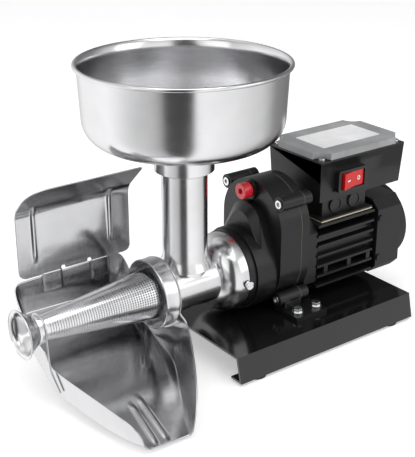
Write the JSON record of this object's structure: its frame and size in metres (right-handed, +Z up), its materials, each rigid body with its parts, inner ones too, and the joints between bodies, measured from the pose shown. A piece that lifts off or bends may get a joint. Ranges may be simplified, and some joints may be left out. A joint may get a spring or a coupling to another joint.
{
  "type": "electric milling strainer",
  "caption": "Electric strainer that mills fruit from a feed bowl through a turning screw and a perforated cone, with a juice chute and a geared motor on a folded steel base.",
  "frame": {"origin": "on the table, under the middle of the machine's length and width", "axes": "+X along the machine from the waste nozzle to the motor fan, +Y away from the side with the switch and spout, +Z up"},
  "size_m": [0.516, 0.2739, 0.337],
  "materials": {
    "black_paint": "gloss black paint on folded sheet",
    "black_cast": "semi-gloss black enamel over a cast surface",
    "black_plastic": "satin black moulded plastic",
    "grey_lid": "satin grey painted lid",
    "red_plastic": "gloss red moulded plastic",
    "red_rocker": "translucent gloss red rocker",
    "polished_steel": "polished stainless steel",
    "spring_wire": "bright spring wire",
    "zinc_steel": "bright zinc plate",
    "bearing_steel": "ground steel",
    "core_steel": "stacked core sheet",
    "gear_brass": "machined bronze",
    "copper_winding": "varnished copper winding",
    "black_rubber": "moulded rubber",
    "gasket": "pressed fibre gasket",
    "pale_gasket": "pale cork rubber gasket",
    "white_plastic": "white nylon",
    "blank_plate": "blank white plate"
  },
  "bodies": {
    "machine": {"base_channel": "black_paint", "rubber_feet": "black_rubber", "foot_screws": "zinc_steel", "foot_nuts": "zinc_steel", "mounting_bolts": "zinc_steel", "mounting_washers": "zinc_steel", "mounting_nuts": "zinc_steel", "gear_housing": "black_cast", "case_gasket": "gasket", "gear_back_plate": "black_cast", "case_screws": "zinc_steel", "oil_plug": "red_plastic", "nose_ring": "black_cast", "output_seal": "black_rubber", "output_bearings": "bearing_steel", "counter_bearings": "bearing_steel", "motor_bearings": "bearing_steel", "stator_core": "core_steel", "stator_winding": "copper_winding", "motor_frame": "black_cast", "rear_shield": "black_cast", "fan_cover": "black_paint", "fan_cover_screws": "zinc_steel", "terminal_box": "black_plastic", "box_gasket": "pale_gasket", "box_lid": "grey_lid", "lid_screws": "zinc_steel", "rating_plate": "blank_plate", "knockout_plugs": "black_plastic", "cable_gland": "black_plastic", "gland_nut": "black_plastic", "run_capacitor": "white_plastic", "terminal_block": "white_plastic", "switch_frame": "black_rubber", "switch_body": "black_plastic"},
    "rotor": {"motor_shaft": "bearing_steel", "motor_pinion": "bearing_steel", "rotor_core": "core_steel", "cooling_fan": "black_plastic"},
    "countershaft": {"counter_shaft": "bearing_steel", "counter_gear": "gear_brass"},
    "output": {"output_shaft": "bearing_steel", "output_gear": "bearing_steel"},
    "rocker": {"switch_rocker": "red_rocker"},
    "lock_screw": {"lock_screw": "zinc_steel"},
    "head": {"strainer_head": "polished_steel"},
    "bowl": {"feed_bowl": "polished_steel"},
    "screw": {"feed_screw": "black_plastic", "thrust_washer": "white_plastic"},
    "sieve": {"sieve_cone": "polished_steel", "sieve_ring": "polished_steel", "waste_nozzle": "polished_steel", "juice_chute": "polished_steel", "rear_clip": "spring_wire", "front_clip": "spring_wire"},
    "guard": {"splash_guard": "polished_steel"}
  },
  "joints": [
    {"name": "motor_spin", "type": "hinge", "parent": "machine", "child": "rotor", "pos_m": [0.149, 0.0215, 0.088], "axis": [1, 0, 0], "continuous": true},
    {"name": "countershaft_spin", "type": "hinge", "parent": "machine", "child": "countershaft", "pos_m": [0.059, 0.0215, 0.133], "axis": [1, 0, 0], "continuous": true},
    {"name": "output_spin", "type": "hinge", "parent": "machine", "child": "output", "pos_m": [0.049, 0.0215, 0.083], "axis": [1, 0, 0], "continuous": true},
    {"name": "head_slide", "type": "slide", "parent": "machine", "child": "head", "axis": [-1, 0, 0], "range_m": [0, 0.06]},
    {"name": "lock_screw_turn", "type": "hinge", "parent": "machine", "child": "lock_screw", "pos_m": [0.002, -0.0258, 0.083], "axis": [0, -1, 0], "range_deg": [0, 720]},
    {"name": "bowl_lift", "type": "slide", "parent": "head", "child": "bowl", "axis": [0, 0, 1], "range_m": [0, 0.05]},
    {"name": "screw_spin", "type": "hinge", "parent": "head", "child": "screw", "pos_m": [-0.051, 0.0215, 0.083], "axis": [1, 0, 0], "continuous": true},
    {"name": "sieve_slide", "type": "slide", "parent": "head", "child": "sieve", "axis": [-1, 0, 0], "range_m": [0, 0.15]},
    {"name": "guard_lift", "type": "slide", "parent": "sieve", "child": "guard", "axis": [0, 0, 1], "range_m": [0, 0.024]},
    {"name": "rocker_tilt", "type": "hinge", "parent": "machine", "child": "rocker", "pos_m": [0.153, -0.0265, 0.1775], "axis": [0, 0, -1], "range_deg": [0, 18]}
  ],
  "couplings": [
    {"joint": "countershaft_spin", "follows": "motor_spin", "ratio": -0.24138},
    {"joint": "output_spin", "follows": "motor_spin", "ratio": 0.060345},
    {"joint": "screw_spin", "follows": "motor_spin", "ratio": 0.060345}
  ]
}
